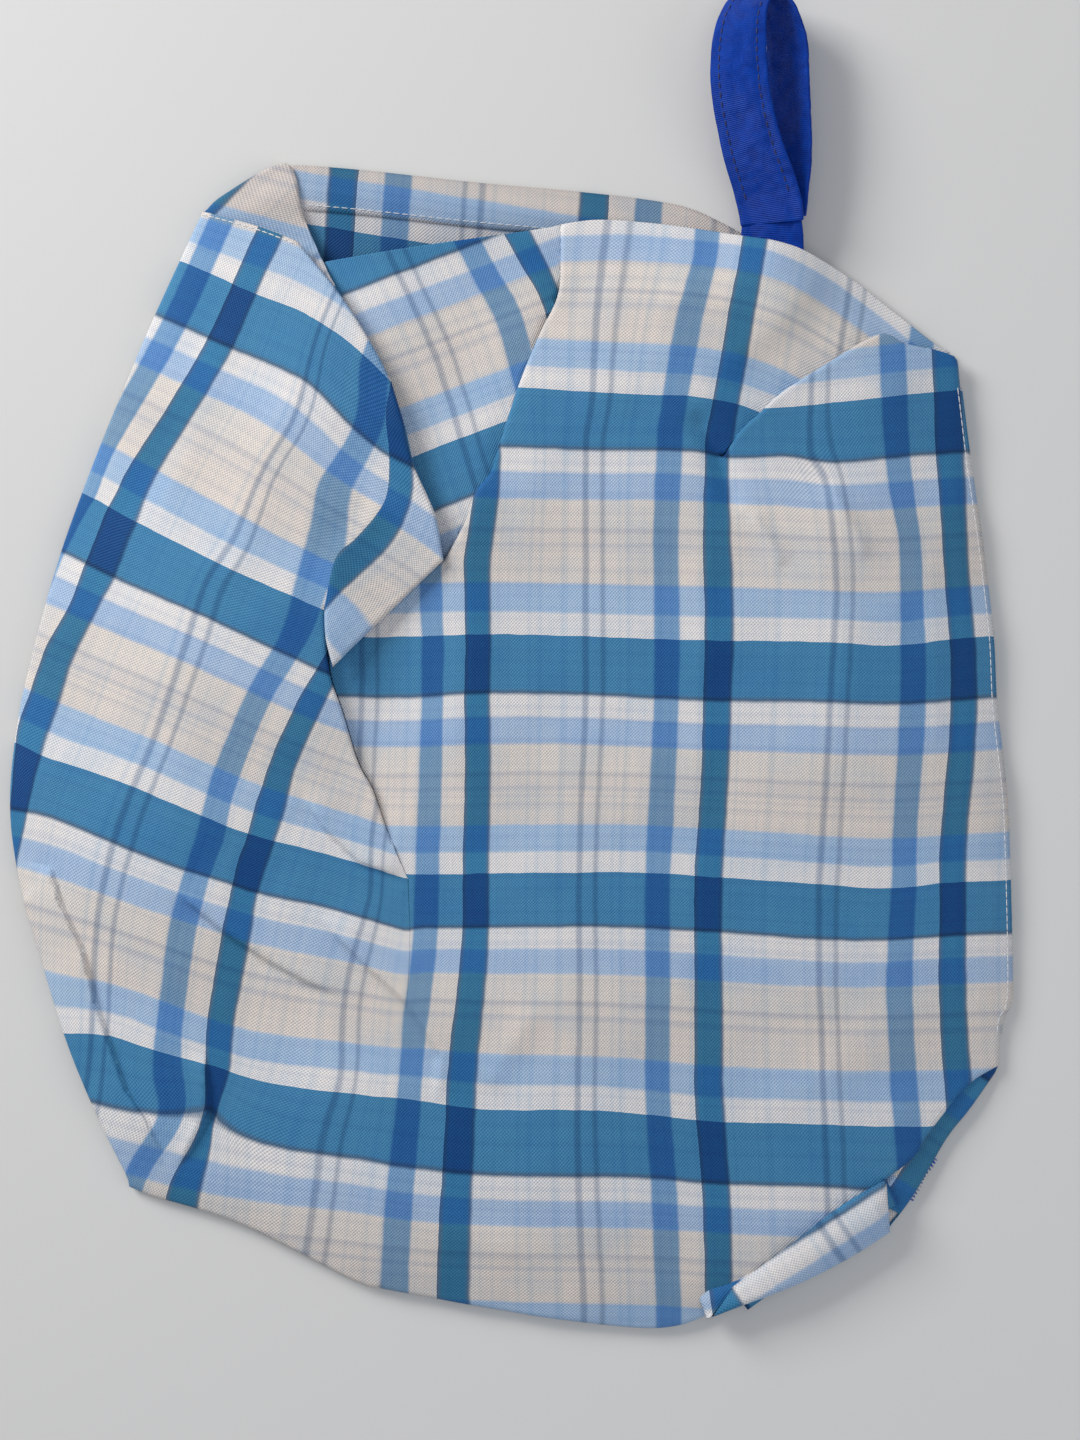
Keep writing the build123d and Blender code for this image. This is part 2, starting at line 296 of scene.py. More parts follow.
# The cloth's thickness, a folded edge's radius, how high the slack front wall stands in the middle and at its
# edge, how high the back wall lies at its edge, and how much cloth is turned under at a fold.
CLOTH = 0.4
FOLD_RADIUS = 1.1
BAG_RISE = 15.0
FRONT_EDGE = 2.5
BACK_EDGE = 0.95
TURNED_UNDER = 7.0

# Soft forms in the slack cloth: place, height, half width and half length, and the way it runs in degrees.
FORMS = (
    ((82, 119), 7.0, 20, 16, 0),
    ((-62, 60), 5.0, 34, 44, 60),
    ((-95, -20), 3.0, 30, 60, 70),
    ((-66, -110), -2.5, 26, 22, 30),
    ((60, 100), 4.0, 26, 30, 0),
    ((105, 20), 2.5, 22, 50, 90),
    ((28, 10), -2.0, 26, 50, 90),
    ((20, -120), 2.5, 50, 30, 0),
    ((108, 84), 3.0, 20, 16, 20),
    ((-18, 80), -3.5, 22, 36, 70),
    ((-38, -20), -3.0, 14, 30, 80),
)

# Creases: the line, height, width and, for one that steps up to its line's left and falls away softly there,
# how wide the step is. A positive height is a ridge and a negative one a furrow.
CREASES = (
    (C1[::-1], 1.9, 14.0, 0.9),
    (C2, 2.0, 10.0, 2.6),
    (C3, 1.8, 10.0, 3.0),
    (C4, 1.6, 8.0, 2.4),
    (C5, 0.8, 4.0, 0),
    (C6, 1.2, 2.5, 0),
    (C7, 1.2, 2.5, 0),
    (DART, -2.2, 3.5, 0),
    (PINCH[::-1], 1.9, 4.0, 1.3),
    (ARC[3:], 1.0, 3.0, 0),
    (((-3, 63), (-12, 30), (-14, -30), (-13, -60)), 0.7, 6.0, 0),
    (((60, 50), (58, 0), (56, -50)), 0.5, 5.0, 0),
    (((25, 112), (45, 104), (60, 112)), 0.7, 5.0, 0),
    (((95, 116), (80, 100), (62, 84)), 0.8, 5.0, 0),
    (((-80, 105), (-92, 70), (-104, 40)), 0.7, 5.0, 0),
    (((-58, 88), (-74, 46), (-84, 16)), 0.7, 6.0, 0),
    (((90, 40), (100, 10), (98, -30)), 0.5, 7.0, 0),
    (((132, 60), (126, 20), (128, -40)), 0.6, 5.0, 0),
    (((-40, -150), (-20, -170), (10, -176)), 0.7, 6.0, 0),
    (((70, -140), (100, -120), (128, -100)), 0.7, 7.0, 0),
)


# Lines and places.
def resample(points, step=1.6):
    """Evenly spaced points on a smooth curve through the given ones."""
    p = np.array(points, float)
    e = np.vstack([2 * p[0] - p[1], p, 2 * p[-1] - p[-2]])
    out = []
    for a, b, c, d in zip(e, e[1:], e[2:], e[3:]):
        n = max(1, round(float(np.linalg.norm(c - b)) / step))
        t = (np.arange(n) / n)[:, None]
        square = (2 * a - 5 * b + 4 * c - d) * t**2
        cube = (3 * b - a - 3 * c + d) * t**3
        out.append(0.5 * (2 * b + (c - a) * t + square + cube))
    return np.vstack(out + [p[-1:]])


def joined(*lines):
    """One polyline from several that follow each other."""
    out = [lines[0]]
    for line in lines[1:]:
        out.append(line[1:] if np.allclose(line[0], out[-1][-1], atol=0.8) else line)
    return np.vstack(out)


def beside(line, passes=0):
    """Directions to the left of a polyline, each evened out with its neighbours a few times."""
    ahead = np.gradient(line, axis=0)
    ahead /= np.maximum(np.linalg.norm(ahead, axis=1), 1e-9)[:, None]
    left = np.stack([-ahead[:, 1], ahead[:, 0]], 1)
    for _ in range(passes):
        left[1:-1] = (left[2:] + left[:-2] + left[1:-1]) / 3
    return left


def inset(line, depth):
    """The line moved to its own right."""
    return line - beside(line, 8) * depth


def from_line(p, line):
    """Distance from a polyline, signed distance (positive to the line's left), and share of the way along."""
    p = np.asarray(p, float)
    line = np.asarray(line, float)
    best = np.full(len(p), 1e9)
    side = np.zeros(len(p))
    share = np.zeros(len(p))
    lengths = np.linalg.norm(np.diff(line, axis=0), axis=1)
    total = lengths.sum()
    start = 0.0
    for a, b, n in zip(line, line[1:], lengths):
        if n < 1e-9:
            continue
        d = (b - a) / n
        q = p - a
        t = np.clip(q @ d, 0, n)
        off = q - t[:, None] * d
        r = np.hypot(off[:, 0], off[:, 1])
        near = r < best
        best[near] = r[near]
        side[near] = np.sign(d[0] * q[near, 1] - d[1] * q[near, 0])
        share[near] = (start + t[near]) / total
        start += n
    return best, best * side, share


def near_line(p, line):
    return from_line(p, line)[0]


def inside(p, outline):
    """Which points lie inside a closed outline."""
    x, y = p[:, 0], p[:, 1]
    hit = np.zeros(len(p), bool)
    for (ax, ay), (bx, by) in zip(outline, np.roll(outline, -1, axis=0)):
        if ay == by:
            continue
        crosses = (ay > y) != (by > y)
        hit ^= crosses & (x < (bx - ax) * (y - ay) / (by - ay) + ax)
    return hit


def smooth_step(t):
    t = np.clip(t, 0, 1)
    return t * t * (3 - 2 * t)


def fit(lines, stiffness=0.004):
    """A function of place that takes each line's value along it: a thin plate bent through the points."""
    places = np.array([q for line in lines.values() for q in line], float) / 100
    values = np.array([value for value, line in lines.items() for q in line], float)
    n = len(places)

    def kernel(a):
        r2 = ((a[:, None, :] - places[None]) ** 2).sum(-1)
        return r2 * np.log(r2 + 1e-12)

    system = np.zeros((n + 3, n + 3))
    system[:n, :n] = kernel(places) + stiffness * np.eye(n)
    system[:n, n] = 1
    system[:n, n + 1 :] = places
    system[n:, :n] = system[:n, n:].T
    weights = np.linalg.solve(system, np.append(values, [0, 0, 0]))

    def at(p):
        q = np.asarray(p, float) / 100
        return kernel(q) @ weights[:n] + weights[n] + q @ weights[n + 1 :]

    return at


def pair(u_lines, v_lines):
    u, v = fit(u_lines), fit(v_lines)
    return lambda p: np.stack([u(p), v(p)], axis=1)


def straight(value, place, change):
    """A print that lies straight."""
    return lambda p: np.array(value) + (p - np.array(place)) @ np.array(change)


# Outlines.
mouth = resample(MOUTH)
right = resample(RIGHT)
corner_fold = resample(CORNER_FOLD)
roll_fold = resample(ROLL_FOLD)
base_edge = resample(BASE)
border = resample(BORDER)
crease = resample(CREASE)
ridge_over_valley = resample(RIDGE_OVER_VALLEY)
tuck = resample(TUCK)
left_edge = resample(LEFT_OUTLINE)
hem_line = resample(HEM_LINE)
flap_outer = resample(FLAP_OUTER)
flap_tip = resample(FLAP_TIP)
flap_lower = resample(FLAP_LOWER)
flap_left = resample(FLAP_LEFT)
arc = resample(ARC)
valley_top = resample(VALLEY_TOP)
back_top = resample(BACK_TOP)
side_strip = resample(SIDE_STRIP)
roll_edge = resample(ROLL_EDGE)
join = resample(JOIN)
JOIN_END = JOIN[-1][0]
mouth_past_back = mouth[mouth[:, 0] > 73]
base_past_roll = base_edge[base_edge[:, 0] < 58]
far_side = joined(resample(TURNED_CORNER[:3]), back_top, mouth_past_back)
silhouette = joined(far_side, right, side_strip, roll_edge, base_past_roll, left_edge)
silhouette_closed = np.vstack([silhouette, silhouette[:1]])
flap_and_arc = joined(flap_outer, arc)
flap_side = joined(flap_outer, flap_tip)


def cubic(t):
    """Weights of four neighbours for a place between the middle two."""
    return (
        0.5 * (-t + 2 * t**2 - t**3),
        0.5 * (2 - 5 * t**2 + 3 * t**3),
        0.5 * (t + 4 * t**2 - 3 * t**3),
        0.5 * (-(t**2) + t**3),
    )


def neighbours(h):
    """The sum of each inner cell's four neighbours."""
    return h[2:, 1:-1] + h[:-2, 1:-1] + h[1:-1, 2:] + h[1:-1, :-2]


def pillow(step=4.0, sweeps=2500, fullness=0.6):
    """The rise of slack cloth over the silhouette at a place, 0 at its edge and 1 at its highest."""
    xs = np.arange(-164, 165, step)
    ys = np.arange(-216, 165, step)
    gx, gy = np.meshgrid(xs, ys, indexing="ij")
    mask = inside(np.stack([gx.ravel(), gy.ravel()], 1), silhouette).reshape(gx.shape)
    h = np.zeros(gx.shape)
    for _ in range(sweeps):
        h[1:-1, 1:-1] = 0.25 * neighbours(h) + 1.0
        h[~mask] = 0
    h = (h / h.max()) ** fullness
    for _ in range(2):
        h[1:-1, 1:-1] = 0.2 * (neighbours(h) + h[1:-1, 1:-1])

    def at(p):
        fx = np.clip((p[:, 0] - xs[0]) / step, 1, len(xs) - 3)
        fy = np.clip((p[:, 1] - ys[0]) / step, 1, len(ys) - 3)
        ix, iy = fx.astype(int), fy.astype(int)
        total = np.zeros(len(p))
        for i, wx in enumerate(cubic(fx - ix)):
            for j, wy in enumerate(cubic(fy - iy)):
                total += wx * wy * h[ix + i - 1, iy + j - 1]
        return np.maximum(total, 0)

    return at


rise = pillow()


def wander(p, scale, seed):
    """Slow uneven noise between about -1 and 1."""
    return np.array([noise.noise(Vector((x / scale, y / scale, seed))) for x, y in p])


def ground(p):
    """The slack front wall's height, before its folds."""
    up = rise(p)
    z = FRONT_EDGE + BAG_RISE * up
    for (x, y), height, wide, long, turn in FORMS:
        c, s = math.cos(math.radians(turn)), math.sin(math.radians(turn))
        a = ((p[:, 0] - x) * c + (p[:, 1] - y) * s) / long
        b = ((p[:, 1] - y) * c - (p[:, 0] - x) * s) / wide
        z += height * np.exp(-(a**2) - b**2)
    for line, height, width, step in CREASES:
        r, signed, share = from_line(p, line)
        ends = smooth_step(share * 5 + 0.05) * smooth_step((1 - share) * 5 + 0.05)
        if step:
            up_side = smooth_step(signed / step + 0.5) * np.exp(-np.maximum(signed, 0) / width)
            low_side = smooth_step(0.5 - signed / step) * np.exp(np.minimum(signed, 0) / width)
            z += height * ends * (up_side - 0.35 * low_side)
        else:
            z += height * ends * np.exp(-((r / width) ** 2))
    calm = 0.25 + 0.75 * np.clip(up * 2.5, 0, 1)  # the cloth wanders less near its edge
    return z + calm * (0.9 * wander(p, 34, 1.7) + 0.35 * wander(p, 13, 5.2) + 0.10 * wander(p, 5, 9.1))


# Meshes.
def grid_faces(rows, columns):
    """The quads of a grid of points that are listed row by row."""
    return [
        [k * columns + i, k * columns + i + 1, (k + 1) * columns + i + 1, (k + 1) * columns + i]
        for k in range(rows - 1)
        for i in range(columns - 1)
    ]


def mesh_flat(outline, step=2.2, rings=(0.35, 0.9, 1.7)):
    """A fine flat mesh of a closed outline, finer along its edge and the creases: points and triangles."""
    following = np.roll(outline, -1, axis=0)
    if np.sum(outline[:, 0] * following[:, 1] - following[:, 0] * outline[:, 1]) < 0:
        outline = outline[::-1]
    ahead = np.roll(outline, -1, axis=0) - np.roll(outline, 1, axis=0)
    ahead /= np.maximum(np.linalg.norm(ahead, axis=1), 1e-9)[:, None]
    inward = np.stack([-ahead[:, 1], ahead[:, 0]], 1)
    closed = np.vstack([outline, outline[:1]])
    free = []
    for depth in rings:
        q = outline + inward * depth
        free.append(q[inside(q, outline) & (near_line(q, closed) > depth * 0.85)])
    for line, *_ in CREASES:
        fine = resample(line, 1.4)
        for offset in (-1.2, -0.55, 0, 0.55, 1.2):
            q = fine + beside(fine) * offset
            q = q[inside(q, outline)]
            if len(q):
                free.append(q[near_line(q, closed) > 1.2])
    low, high = outline.min(0), outline.max(0)
    gx, gy = np.meshgrid(np.arange(low[0], high[0], step), np.arange(low[1], high[1], step), indexing="ij")
    gx = gx + (np.arange(gx.shape[1]) % 2) * step / 2
    q = np.stack([gx.ravel(), gy.ravel()], 1)
    q = q[inside(q, outline)]
    free.append(q[near_line(q, closed) > rings[-1] + 0.6 * step])
    points = np.vstack([outline] + free)
    found = delaunay_2d_cdt([Vector(q) for q in points], [], [list(range(len(outline)))], 1, 1e-4)
    return np.array([list(q) for q in found[0]]), [list(f) for f in found[2]]


def new_piece(name, points, faces, material):
    """A smooth-shaded object from places in millimetres."""
    mesh = bpy.data.meshes.new(name)
    mesh.from_pydata((np.asarray(points) * MM).tolist(), [], faces)
    mesh.shade_smooth()
    mesh.materials.append(material)
    obj = bpy.data.objects.new(name, mesh)
    bpy.context.collection.objects.link(obj)
    return obj


def lay_print(mesh, printed):
    """Gives each vertex its place in the flat cloth, from millimetres to a UV map in metres."""
    layer = mesh.uv_layers.new(name="print")
    index = np.zeros(len(mesh.loops), dtype=np.int32)
    mesh.loops.foreach_get("vertex_index", index)
    layer.data.foreach_set("uv", (printed * MM)[index].astype(np.float32).ravel())


def thicken(obj, thickness, offset):
    solid = obj.modifiers.new("cloth", "SOLIDIFY")
    solid.thickness = thickness * MM
    solid.offset = offset


def stand_for(piece, cad_node, body="bag"):
    """Lets a piece ride on a body in place of a CAD node, which it hides."""
    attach(piece, body)
    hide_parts(cad_node)


class Cloth:
    """Cloth built up from parts, each with places, faces and the print at each place."""

    def __init__(self):
        self.points, self.faces, self.print = [], [], []
        self.count = 0

    def add(self, points, faces, printed):
        self.points.append(points)
        self.faces += [[i + self.count for i in f] for f in faces]
        self.print.append(printed)
        self.count += len(points)

    def region(self, outline, height, printed, folds=()):
        """A flat part of the cloth, with the edges in folds rolled under."""
        p, faces = mesh_flat(outline)
        z = height(p)
        for fold in folds:
            short = np.maximum(FOLD_RADIUS - near_line(p, fold), 0)
            z -= FOLD_RADIUS - np.sqrt(np.maximum(FOLD_RADIUS**2 - short**2, 0))
        self.add(np.column_stack([p, z]), faces, printed(p))
        for fold in folds:
            self.roll_under(fold, outline, height, printed)

    def roll_under(self, fold, outline, height, printed):
        """The cloth beyond a folded edge: round and back beneath."""
        out = -beside(fold, 6)
        if inside(fold + out * 0.8, outline).mean() > 0.5:
            out = -out
        out /= np.linalg.norm(out, axis=1)[:, None]
        z0 = height(fold) - FOLD_RADIUS
        rows, prints = [], []
        for turn in (0, 30, 60, 90):
            a = math.radians(turn)
            xy = fold - out * FOLD_RADIUS * (1 - math.cos(a))
            rows.append(np.column_stack([xy, z0 - FOLD_RADIUS * math.sin(a)]))
            prints.append(printed(fold + out * FOLD_RADIUS * a))
        for more in (0.35, 1.0):
            xy = fold - out * (FOLD_RADIUS + TURNED_UNDER * more)
            rows.append(np.column_stack([xy, z0 - FOLD_RADIUS - 0.3 * more]))
            prints.append(printed(fold + out * (FOLD_RADIUS * math.pi / 2 + TURNED_UNDER * more)))
        self.add(np.vstack(rows), grid_faces(len(rows), len(fold)), np.vstack(prints))

    def band(self, line, width, height, printed, steps=8, start=0.3):
        """A strip of cloth that runs along a line, on its right."""
        rows = [inset(line, start + (width - start) * k / steps) for k in range(steps + 1)]
        points = np.vstack([np.column_stack([xy, height(xy)]) for xy in rows])
        self.add(points, grid_faces(steps + 1, len(line)), np.vstack([printed(xy) for xy in rows]))
        return self

    def make(self, name, material, lowest=0.25):
        points = np.vstack(self.points)
        points[:, 2] = np.maximum(points[:, 2], lowest + CLOTH)
        obj = new_piece(name, points, self.faces, material)
        lay_print(obj.data, np.vstack(self.print) * UNIT)
        b = bmesh.new()
        b.from_mesh(obj.data)
        bmesh.ops.remove_doubles(b, verts=b.verts, dist=0.00002)
        bmesh.ops.recalc_face_normals(b, faces=b.faces)
        if sum(f.normal.z * f.calc_area() for f in b.faces) < 0:
            bmesh.ops.reverse_faces(b, faces=b.faces)
        b.to_mesh(obj.data)
        b.free()
        thicken(obj, CLOTH, -1)
        return obj


# The print's stripes: from, to, in fabric units of one repeat, and colour. Between them the cloth is pale.
WARP_BANDS = (
    (0, 3, (0.12, 0.24, 0.40)),
    (3, 25, (0.05, 0.27, 0.52)),
    (25, 28, (0.12, 0.24, 0.40)),
    (117, 123, (0.60, 0.65, 0.73)),
    (134, 139, (0.66, 0.70, 0.76)),
    (187, 213, (0.26, 0.48, 0.76)),
)
WEFT_BANDS = (
    (0, 54, (0.075, 0.31, 0.57)),
    (54, 58, (0.10, 0.20, 0.33)),
    (80, 106, (0.52, 0.70, 0.95)),
    (106, 133, (0.93, 0.885, 0.83)),
    (133, 138, (0.76, 0.74, 0.74)),
    (138, 147, (0.93, 0.87, 0.81)),
    (147, 152, (0.78, 0.76, 0.76)),
    (152, 186, (0.93, 0.87, 0.81)),
    (186, 214, (0.50, 0.70, 0.95)),
)
WHITE = (1.0, 1.0, 1.0)
# The pitch of the weave's dots both ways, and of the strap's ribs, in metres.
WEAVE_PITCH = (0.00092, 0.00098)
RIB_PITCH = 0.00055


# Finishes.
def shader(name):
    material = bpy.data.materials.new(name)
    material.use_nodes = True
    tree = material.node_tree
    return material, tree, tree.nodes["Principled BSDF"]


def node(tree, kind, **values):
    n = tree.nodes.new(kind)
    for key, value in values.items():
        setattr(n, key, value)
    return n


def maths(tree, operation, a, b, clamp=False):
    n = node(tree, "ShaderNodeMath", operation=operation, use_clamp=clamp)
    for socket, value in zip(n.inputs, (a, b)):
        if isinstance(value, (int, float)):
            socket.default_value = value
        elif value is not None:
            tree.links.new(value, socket)
    return n.outputs[0]


def wave(tree, along, pitch):
    """A sine of the given pitch in metres."""
    return maths(tree, "SINE", maths(tree, "MULTIPLY", along, 2 * math.pi / pitch), None)


def mixed(tree, a, b, share, blend="MIX"):
    n = node(tree, "ShaderNodeMix", data_type="RGBA", blend_type=blend)
    for socket, value in ((n.inputs[0], share), (n.inputs[6], a), (n.inputs[7], b)):
        if isinstance(value, (int, float)):
            socket.default_value = value
        elif isinstance(value, tuple):
            socket.default_value = (*value, 1)
        else:
            tree.links.new(value, socket)
    return n.outputs[2]


def cloudy(tree, dimensions, socket, source, scale, detail, distortion=0.0):
    """A noise texture over the given source."""
    n = node(tree, "ShaderNodeTexNoise", noise_dimensions=dimensions)
    n.inputs["Scale"].default_value = scale
    n.inputs["Detail"].default_value = detail
    n.inputs["Distortion"].default_value = distortion
    tree.links.new(source, n.inputs[socket])
    return n.outputs[0]


def print_place(tree):
    """The place in the flat cloth, and its two parts."""
    place = node(tree, "ShaderNodeUVMap", uv_map="print").outputs[0]
    split = node(tree, "ShaderNodeSeparateXYZ")
    tree.links.new(place, split.inputs[0])
    return place, split.outputs[0], split.outputs[1]


def bumped(tree, base, height, strength, distance):
    bump = node(tree, "ShaderNodeBump")
    bump.inputs["Strength"].default_value = strength
    bump.inputs["Distance"].default_value = distance
    tree.links.new(height, bump.inputs["Height"])
    tree.links.new(bump.outputs[0], base.inputs["Normal"])


def stripes(tree, across, repeat, bands, soft):
    """Printed stripes with soft edges, white between them."""
    turn = maths(tree, "FRACT", maths(tree, "DIVIDE", across, repeat * UNIT * MM), None)
    n = node(tree, "ShaderNodeValToRGB")
    tree.links.new(turn, n.inputs[0])
    stops = []
    for start, end, tint in bands:
        if stops and abs(stops[-1][0] * repeat - (start + soft)) < 2 * soft + 0.2:
            stops[-1] = ((start + soft) / repeat, tint)
        elif start <= 0:
            stops.append((0.0, tint))
        else:
            stops.append(((start - soft) / repeat, WHITE))
            stops.append(((start + soft) / repeat, tint))
        stops.append(((end - soft) / repeat, tint))
        stops.append(((end + soft) / repeat, WHITE))
    first, last = n.color_ramp.elements
    first.position, first.color = stops[0][0], (*stops[0][1], 1)
    last.position, last.color = 1.0, (*WHITE, 1)
    for place, tint in stops[1:]:
        if place < 1:
            n.color_ramp.elements.new(place).color = (*tint, 1)
    return n.outputs[0]


def plaid(name, strength=1.0, cloth_colour=(0.86, 0.83, 0.82)):
    """Printed plain weave: two sets of stripes over a pale cloth, blotched, with the weave's own grain."""
    material, tree, base = shader(name)
    place, u, v = print_place(tree)
    waver = cloudy(tree, "2D", "Vector", place, 120, 3)
    shift = maths(tree, "MULTIPLY", maths(tree, "SUBTRACT", waver, 0.5), 0.0006)
    warp = stripes(tree, maths(tree, "ADD", u, shift), WARP_REPEAT, WARP_BANDS, 1.4)
    weft = stripes(tree, maths(tree, "ADD", v, shift), WEFT_REPEAT, WEFT_BANDS, 1.6)
    both = mixed(tree, warp, weft, 1.0, "MULTIPLY")
    blotch = maths(tree, "SUBTRACT", cloudy(tree, "2D", "Vector", place, 55, 4), 0.42, True)
    printed = mixed(tree, both, mixed(tree, WHITE, (0.55, 0.78, 1.0), blotch), 1.0, "MULTIPLY")
    for across, tint in ((u, (0.80, 0.88, 0.95)), (v, (0.84, 0.87, 0.93))):
        lines = cloudy(tree, "1D", "W", across, 420, 3)
        faint = maths(tree, "MULTIPLY", maths(tree, "SUBTRACT", lines, 0.44, True), 2.2)
        printed = mixed(tree, printed, mixed(tree, WHITE, tint, faint), 1.0, "MULTIPLY")
    dyed = mixed(tree, cloth_colour, printed, strength, "MULTIPLY")
    grain = maths(tree, "MULTIPLY", wave(tree, u, WEAVE_PITCH[0]), wave(tree, v, WEAVE_PITCH[1]))
    stretch = node(tree, "ShaderNodeCombineXYZ")
    tree.links.new(maths(tree, "MULTIPLY", u, 90), stretch.inputs[0])
    tree.links.new(maths(tree, "MULTIPLY", v, 1100), stretch.inputs[1])
    streak = cloudy(tree, "2D", "Vector", stretch.outputs[0], 1.0, 2)
    lift = maths(tree, "ADD", maths(tree, "MULTIPLY", grain, 0.16), maths(tree, "MULTIPLY", streak, 0.05))
    pale = mixed(tree, dyed, (1.9, 1.75, 1.65), maths(tree, "MAXIMUM", lift, 0.0), "MULTIPLY")
    low = maths(tree, "MAXIMUM", maths(tree, "MULTIPLY", grain, -0.34), 0.0)
    tree.links.new(mixed(tree, pale, (0.0, 0.02, 0.06), low), base.inputs["Base Color"])
    base.inputs["Roughness"].default_value = 0.52
    base.inputs["Specular IOR Level"].default_value = 0.2
    base.inputs["Sheen Weight"].default_value = 0.03
    base.inputs["Sheen Roughness"].default_value = 0.4
    bumped(tree, base, grain, 0.5, 0.0002)
    return material


def taffeta(name):
    """Crisp royal-blue ribbon cloth with fine ribs and small creases, with painted shade and highlight:
    darker and brighter blue over the creases, brighter blue on the rib crests.
    """
    material, tree, base = shader(name)
    place, _, along = print_place(tree)
    rib = wave(tree, along, RIB_PITCH)
    crumples = cloudy(tree, "3D", "Vector", place, 260, 5, 0.6)
    # Painted shade and highlight: the crease noise that bumps the cloth also picks between a dark and a
    # bright blue.
    crumple_shade_and_highlight = mixed(tree, (0.0, 0.014, 0.17), (0.002, 0.060, 0.46), crumples)
    # Painted highlight: brighter blue on the crests of the ribs.
    rib_crest_highlight = maths(tree, "MULTIPLY", maths(tree, "MAXIMUM", rib, 0.0), 0.12)
    tree.links.new(mixed(tree, crumple_shade_and_highlight, (0.01, 0.12, 0.7), rib_crest_highlight), base.inputs["Base Color"])
    base.inputs["Roughness"].default_value = 0.42
    base.inputs["Specular IOR Level"].default_value = 0.12
    bumped(tree, base, maths(tree, "ADD", maths(tree, "MULTIPLY", rib, 0.15), crumples), 0.7, 0.0006)
    return material


def thread(name, colour):
    """Twisted sewing thread."""
    material, tree, base = shader(name)
    where = node(tree, "ShaderNodeTexCoord")
    twist = node(tree, "ShaderNodeTexWave", bands_direction="DIAGONAL")
    twist.inputs["Scale"].default_value = 900
    twist.inputs["Distortion"].default_value = 1.5
    tree.links.new(where.outputs["Object"], twist.inputs["Vector"])
    dark = tuple(0.72 * c for c in colour)
    tree.links.new(mixed(tree, dark, colour, twist.outputs["Fac"]), base.inputs["Base Color"])
    base.inputs["Roughness"].default_value = 0.6
    base.inputs["Sheen Weight"].default_value = 0.2
    return material


wall_cloth = plaid("wall_cloth")
inner_cloth = plaid("inner_cloth", cloth_colour=(0.72, 0.69, 0.69))
base_cloth = plaid("base_cloth", 0.95, (0.78, 0.74, 0.73))
strap_cloth = taffeta("strap")
white_thread = thread("white_thread", (0.86, 0.86, 0.88))
blue_thread = thread("blue_thread", (0.03, 0.10, 0.50))
navy_thread = thread("strap_thread", (0.004, 0.012, 0.12))


# The print's place over each part.
main_print = pair(MAIN_U, MAIN_V)
top_print = pair(TOP_U, TOP_V)
left_print = pair(LEFT_U, LEFT_V)
valley_print = pair(VALLEY_U, VALLEY_V)
flap_print = pair(FLAP_U, FLAP_V)
strip_print = straight(*STRIP_PRINT)
roll_print = straight(*ROLL_PRINT)
corner_print = straight(*CORNER_PRINT)
back_print = straight(*BACK_PRINT)
BORDER_TOP = border[0][1]


def right_body_print(p):
    """The lower and upper right body, one cloth left of the tuck's tip and parted to the right of it."""
    width = 2.0 + 0.3 * np.maximum(0, JOIN_END - p[:, 0])
    share = smooth_step(0.5 - from_line(p, join)[1] / width)[:, None]
    return share * main_print(p) + (1 - share) * top_print(p)


def body_print(p):
    """The left and right body, one cloth below the crease's end."""
    width = 2.0 + 0.35 * np.maximum(0, BORDER_TOP - p[:, 1])
    share = smooth_step(0.5 + from_line(p, border)[1] / width)[:, None]
    return share * main_print(p) + (1 - share) * left_print(p)


def lower_print(p):
    left_part = np.where((p[:, 1] < BORDER_TOP)[:, None], body_print(p), main_print(p))
    upper_part = np.where((p[:, 0] < JOIN_END)[:, None], right_body_print(p), main_print(p))
    return np.where((p[:, 1] < 20)[:, None], left_part, upper_part)


def left_body_print(p):
    return np.where((p[:, 1] < BORDER_TOP)[:, None], body_print(p), left_print(p))


def upper_print(p):
    return np.where((p[:, 0] > JOIN_END)[:, None], top_print(p), right_body_print(p))


def front_hem_print(p):
    return np.where((p[:, 0] < MOUTH[0][0])[:, None], valley_print(p), upper_print(p))


# The height of each part.
def crease_share(p):
    """1 at the crease's top, 0 at its end and below."""
    return smooth_step((p[:, 1] - BORDER_TOP) / 30)


def left_height(p):
    lifted_flap = 3.0 * np.exp(-near_line(p, flap_and_arc) / 24)
    return ground(p) + lifted_flap + 2.2 * crease_share(p) * np.exp(-near_line(p, crease) / 12)


def flap_height(p):
    return left_height(p) + 2.4 * (1 - np.exp(-near_line(p, arc) / 6))


def tuck_lift(p, fade):
    """1 at the tuck's edge, 0 far from it and at its tip."""
    r, _, share = from_line(p, tuck)
    return smooth_step((1 - share) * 4) * (p[:, 0] > 60) * np.exp(-r / fade)


def ridge_lift(p):
    return 0.8 * np.exp(-near_line(p, ridge_over_valley) / 10)


def main_height(p):
    sunk = 0.8 * crease_share(p) * np.exp(-near_line(p, crease) / 9)
    return ground(p) - sunk + 2.4 * tuck_lift(p, 14) + ridge_lift(p)


def top_height(p):
    return ground(p) - 1.2 * tuck_lift(p, 12) + ridge_lift(p)


def valley_height(p):
    r = np.minimum(near_line(p, ridge_over_valley), near_line(p, flap_side))
    return ground(p) - 3.0 * smooth_step((130 - p[:, 1]) / 14) * (0.6 + 0.4 * np.exp(-r / 8))


def front_hem_height(p):
    return np.where(p[:, 0] < MOUTH[0][0], valley_height(p), top_height(p))


def roll_height(p):
    round_part = np.sin(np.clip(near_line(p, roll_fold) / 16, 0, 1) * math.pi) ** 0.8
    return ground(p) + 2.2 + 3.0 * round_part


def strip_height(p):
    return ground(p) - 1.3 * np.exp(-near_line(p, corner_fold) / 8)


def back_height(p):
    inward = smooth_step(near_line(p, silhouette_closed) / 9)
    hem = 1.6 * np.exp(-((near_line(p, back_top) - 9) ** 2) / 60)
    return BACK_EDGE + inward * (0.35 + hem + 0.25 * (wander(p, 22, 3.3) + 1))


